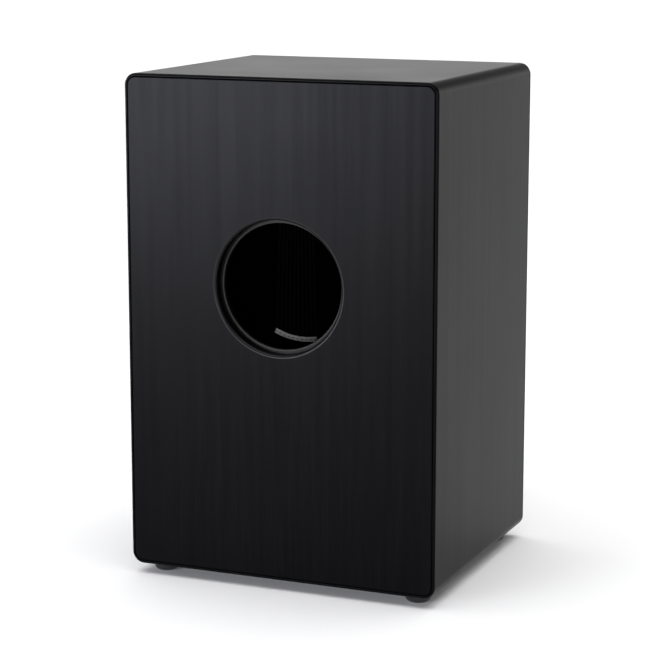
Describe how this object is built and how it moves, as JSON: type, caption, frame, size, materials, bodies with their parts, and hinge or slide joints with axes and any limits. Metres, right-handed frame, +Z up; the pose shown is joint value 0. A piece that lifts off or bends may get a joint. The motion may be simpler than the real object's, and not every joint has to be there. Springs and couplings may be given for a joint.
{
  "type": "cajon",
  "caption": "Box drum that is sat on and played by hand: black wooden box, thin screwed-on front plate, round sound hole behind, rubber feet and a swing-away snare inside.",
  "frame": {"origin": "on the floor under the middle of the box, at the height of the feet's flats", "axes": "+Z up; -Y is the front, out of the playing surface; +Y is the rear, out of the sound hole; +X is the seated player's left"},
  "size_m": [0.3, 0.256, 0.466],
  "materials": {
    "black_lacquer": "black satin lacquer on plywood, faint grain",
    "stained_ply": "black stained and satin lacquered plywood with open grain",
    "black_screw": "black oxide steel",
    "bare_spruce": "bare planed spruce",
    "bare_beech": "bare sanded beech",
    "foot_rubber": "moulded rubber with a slight sheen",
    "zinc_steel": "bright zinc plate",
    "spring_wire": "blackened coiled spring wire",
    "pale_strip": "bright flat steel strip"
  },
  "bodies": {
    "box": {"seat_panel": "black_lacquer", "bottom_panel": "black_lacquer", "left_side_panel": "black_lacquer", "right_side_panel": "black_lacquer", "rear_panel": "black_lacquer", "sound_hole_ring": "black_lacquer", "front_plate": "stained_ply", "front_plate_screws": "black_screw", "glue_block_top_left": "bare_spruce", "glue_block_top_right": "bare_spruce", "glue_block_bottom_left": "bare_spruce", "glue_block_bottom_right": "bare_spruce", "foot_front_left": "foot_rubber", "foot_front_right": "foot_rubber", "foot_rear_left": "foot_rubber", "foot_rear_right": "foot_rubber", "foot_washers": "zinc_steel", "foot_screws": "zinc_steel", "bar_block_left": "bare_beech", "bar_block_right": "bare_beech", "bar_block_screws": "zinc_steel"},
    "snare_set": {"snare_bar": "bare_beech", "snare_wires_left": "spring_wire", "snare_wires_right": "spring_wire", "clamp_plate_left": "zinc_steel", "clamp_plate_right": "zinc_steel", "clamp_plate_screws": "zinc_steel", "end_strip_left": "pale_strip", "end_strip_right": "pale_strip"},
    "lock": {"thumb_screw": "zinc_steel"}
  },
  "joints": [
    {"name": "snare_swing", "type": "hinge", "parent": "box", "child": "snare_set", "pos_m": [0, -0.1129, 0.414], "axis": [1, 0, 0], "range_deg": [0, 8]},
    {"name": "thumb_turn", "type": "hinge", "parent": "box", "child": "lock", "pos_m": [-0.129, -0.0945, 0.414], "axis": [0, 1, 0], "range_deg": [0, 270]}
  ]
}
